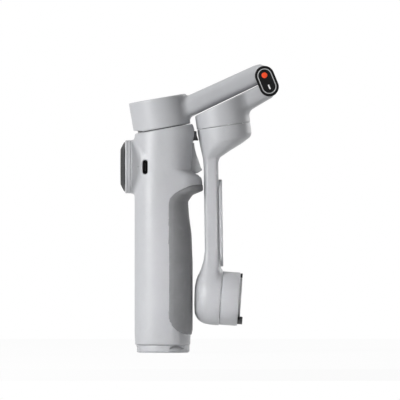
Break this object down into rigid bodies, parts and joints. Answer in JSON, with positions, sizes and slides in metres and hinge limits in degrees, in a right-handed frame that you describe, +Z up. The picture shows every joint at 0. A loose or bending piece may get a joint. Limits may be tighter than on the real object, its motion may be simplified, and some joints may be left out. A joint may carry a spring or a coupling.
{
  "type": "smartphone gimbal",
  "caption": "Folding three-axis smartphone stabiliser stored folded, with grip, control dial, trigger, telescopic rod, built-in tripod and magnetic phone mount disc.",
  "frame": {"origin": "mouth of the tripod thread in the middle of the base", "axes": "+Z up along the handle, +X from the user towards the folded arms, -Y is the side with the charging port"},
  "size_m": [0.091, 0.036, 0.1658],
  "materials": {
    "body_plastic": "fine satin light grey",
    "grip_rubber": "soft matte dark grey",
    "grey_button": "satin mid grey",
    "black_plastic": "satin to gloss black",
    "frame_plastic": "moulded grey",
    "circuit_board": "solder mask green",
    "steel": "turned and ground",
    "rod_metal": "anodised drawn tube",
    "copper_alloy": "bare copper and brass",
    "magnet": "nickel plated",
    "cell_wrap": "shrink wrap",
    "cap_ring_grey": "satin grey inlay",
    "dot_orange": "orange red inlay",
    "bar_white": "white inlay"
  },
  "bodies": {
    "handle": {"handle_shell": "body_plastic", "grip_pad": "grip_rubber", "rear_bumper": "grip_rubber", "dial_bezel": "body_plastic", "dial_board": "circuit_board", "usb_port": "black_plastic", "main_board": "circuit_board", "trigger_pin": "steel", "trigger_spring": "steel", "bulkhead": "frame_plastic", "battery_tube": "frame_plastic", "battery_cell": "cell_wrap", "thread_insert": "copper_alloy", "rod_sleeve": "rod_metal"},
    "dial": {"control_dial": "black_plastic"},
    "centre_button": {"dial_button": "black_plastic"},
    "power_key": {"power_button": "grey_button"},
    "trigger_lever": {"trigger": "grey_button"},
    "tripod": {"tripod_hub": "frame_plastic", "tripod_legs": "body_plastic", "tripod_pins": "steel"},
    "rod_1": {"rod_section_1": "rod_metal"},
    "rod_2": {"rod_section_2": "rod_metal"},
    "rod_3": {"rod_section_3": "rod_metal"},
    "rod_4": {"rod_section_4": "rod_metal"},
    "rod_5": {"rod_section_5": "rod_metal", "motor_neck": "black_plastic", "pan_base_plate": "steel", "pan_stator": "steel", "pan_coils": "copper_alloy", "pan_bearings": "steel"},
    "pan_body": {"pan_arm": "body_plastic", "pan_shaft": "steel", "pan_magnet_ring": "magnet"},
    "hinge_link": {"link_plates": "black_plastic", "hinge_pins": "steel", "cap_front": "black_plastic", "cap_rear": "black_plastic", "cap_ring": "cap_ring_grey", "cap_dot": "dot_orange", "cap_bar": "bar_white"},
    "fold_body": {"fold_arm": "body_plastic", "tilt_stator": "steel", "tilt_coils": "copper_alloy", "tilt_bearings": "steel"},
    "tilt_body": {"tilt_arm": "body_plastic", "tilt_shaft": "steel", "tilt_magnet_ring": "magnet", "arm_cover_strip": "body_plastic", "strip_screws": "steel", "roll_stator": "steel", "roll_coils": "copper_alloy", "roll_bearings": "steel"},
    "mount_body": {"mount_disc": "body_plastic", "mount_plate": "steel", "mount_magnets": "magnet", "mount_lugs": "black_plastic", "roll_shaft": "steel", "roll_magnet_ring": "magnet"}
  },
  "joints": [
    {"name": "tripod_slide", "type": "slide", "parent": "handle", "child": "tripod", "axis": [0, 0, -1], "range_m": [0, 0.048]},
    {"name": "dial_turn", "type": "hinge", "parent": "handle", "child": "dial", "pos_m": [-0.0217, 0, 0.1068], "axis": [-1, 0, 0], "continuous": true},
    {"name": "centre_press", "type": "slide", "parent": "handle", "child": "centre_button", "axis": [1, 0, 0], "range_m": [0, 0.0004], "stiffness_N_per_m": 2000, "springref_m": -0.0004},
    {"name": "power_press", "type": "slide", "parent": "handle", "child": "power_key", "axis": [0, -1, 0], "range_m": [0, 0.0005], "stiffness_N_per_m": 2000, "springref_m": -0.0004},
    {"name": "trigger_pull", "type": "hinge", "parent": "handle", "child": "trigger_lever", "pos_m": [0.0152, 0, 0.1186], "axis": [0, 1, 0], "range_deg": [0, 8], "stiffness_Nm_per_rad": 0.12, "springref_deg": -4.58},
    {"name": "rod_slide_1", "type": "slide", "parent": "handle", "child": "rod_1", "axis": [0, 0, 1], "range_m": [0, 0.034]},
    {"name": "rod_slide_2", "type": "slide", "parent": "rod_1", "child": "rod_2", "axis": [0, 0, 1], "range_m": [0, 0.034]},
    {"name": "rod_slide_3", "type": "slide", "parent": "rod_2", "child": "rod_3", "axis": [0, 0, 1], "range_m": [0, 0.034]},
    {"name": "rod_slide_4", "type": "slide", "parent": "rod_3", "child": "rod_4", "axis": [0, 0, 1], "range_m": [0, 0.034]},
    {"name": "rod_slide_5", "type": "slide", "parent": "rod_4", "child": "rod_5", "axis": [0, 0, 1], "range_m": [0, 0.034]},
    {"name": "pan_turn", "type": "hinge", "parent": "rod_5", "child": "pan_body", "pos_m": [-0.0004, 0, 0.1289], "axis": [-0.1719, 0, 0.9851], "range_deg": [-15, 15]},
    {"name": "fold_upper", "type": "hinge", "parent": "pan_body", "child": "hinge_link", "pos_m": [0.0578, 0, 0.1605], "axis": [0, -1, 0], "range_deg": [0, 135]},
    {"name": "fold_lower", "type": "hinge", "parent": "hinge_link", "child": "fold_body", "pos_m": [0.06124, 0, 0.15218], "axis": [0, -1, 0], "range_deg": [0, 135]},
    {"name": "tilt_turn", "type": "hinge", "parent": "fold_body", "child": "tilt_body", "pos_m": [0.0349, 0, 0.1303], "axis": [-0.1495, 0, 0.9888], "range_deg": [-170, 90]},
    {"name": "roll_turn", "type": "hinge", "parent": "tilt_body", "child": "mount_body", "pos_m": [0.0332, 0, 0.0314], "axis": [0.9976, 0, -0.0698], "range_deg": [-210, 70]}
  ]
}
